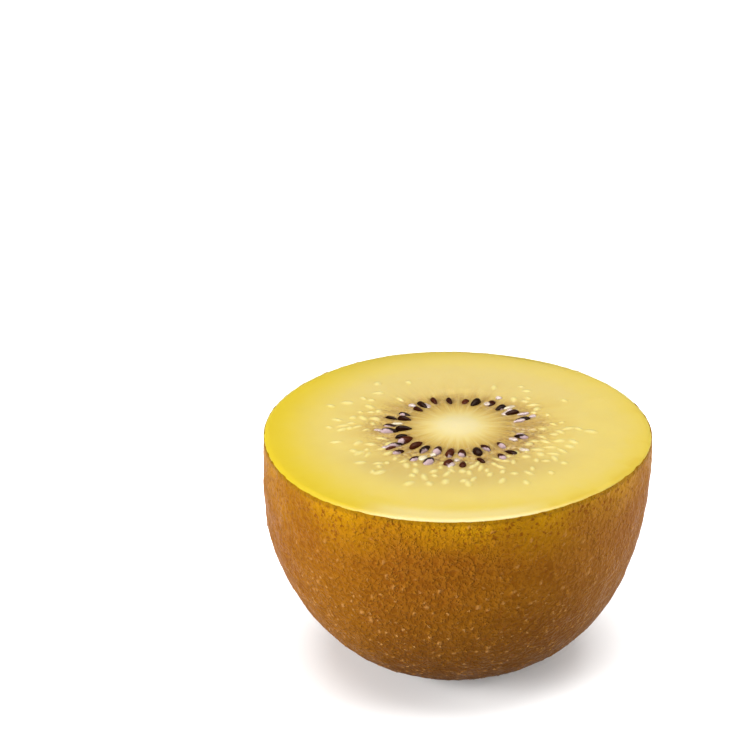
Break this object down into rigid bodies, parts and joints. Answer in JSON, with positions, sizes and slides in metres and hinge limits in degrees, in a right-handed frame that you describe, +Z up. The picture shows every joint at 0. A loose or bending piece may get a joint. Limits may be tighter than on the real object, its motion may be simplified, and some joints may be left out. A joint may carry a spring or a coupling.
{
  "type": "half golden kiwi fruit",
  "caption": "Golden kiwi fruit cut across its middle, standing on its stem end: pale core, ring of dark seeds, yellow flesh and brown speckled skin.",
  "frame": {"origin": "centre of the resting spot, under the middle of the half", "axes": "+Z up, out of the cut face; the half is nearly round about Z; -Y is the side that the picture looks at"},
  "size_m": [0.0531, 0.0531, 0.0344],
  "materials": {
    "flesh": "wet cut flesh, golden yellow and slightly see-through, deeper yellow at the rim and cream at the core",
    "skin": "thin golden-brown skin with a fine short nap and dark and pale specks",
    "seed": "brown-black seed, smooth and wet",
    "scar": "dry woody stem scar"
  },
  "bodies": {
    "root": {"kiwi_half": "flesh"}
  },
  "joints": []
}
